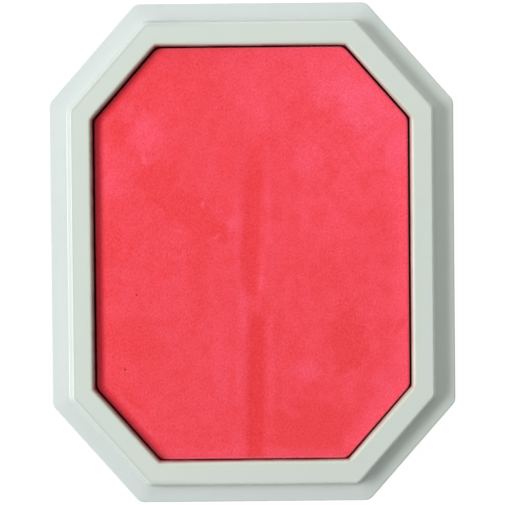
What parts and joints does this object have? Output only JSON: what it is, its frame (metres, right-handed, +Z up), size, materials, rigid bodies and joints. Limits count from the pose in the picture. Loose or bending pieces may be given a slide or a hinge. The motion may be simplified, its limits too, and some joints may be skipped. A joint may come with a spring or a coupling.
{
  "type": "ink pad",
  "caption": "Flat octagonal ink pad for hand and stamp prints, with a stepped casing and a raised rim around a lift-out inked cloth insert.",
  "frame": {"origin": "centre of the footprint, on the surface that the feet stand on", "axes": "+Z up out of the inked face, +Y along the pad's length, +X across its width"},
  "size_m": [0.15, 0.185, 0.018],
  "materials": {
    "casing_plastic": "satin",
    "seal_rubber": "matte",
    "screw_steel": "satin",
    "foot_rubber": "matte",
    "insert_plastic": "satin",
    "inked_felt": "matte",
    "inked_foam": "matte",
    "inked_cloth": "matte"
  },
  "bodies": {
    "casing": {"top_frame": "casing_plastic", "base_tray": "casing_plastic", "ink_seal": "seal_rubber", "casing_screws": "screw_steel", "foot_back_right": "foot_rubber", "foot_back_left": "foot_rubber", "foot_front_left": "foot_rubber", "foot_front_right": "foot_rubber"},
    "pad_insert": {"hem_ring": "insert_plastic", "insert_tray": "insert_plastic", "felt_reservoir": "inked_felt", "foam_core": "inked_foam", "pad_cloth": "inked_cloth"}
  },
  "joints": [
    {"name": "pad_lift", "type": "slide", "parent": "casing", "child": "pad_insert", "axis": [0, 0, 1], "range_m": [0, 0.03]}
  ]
}
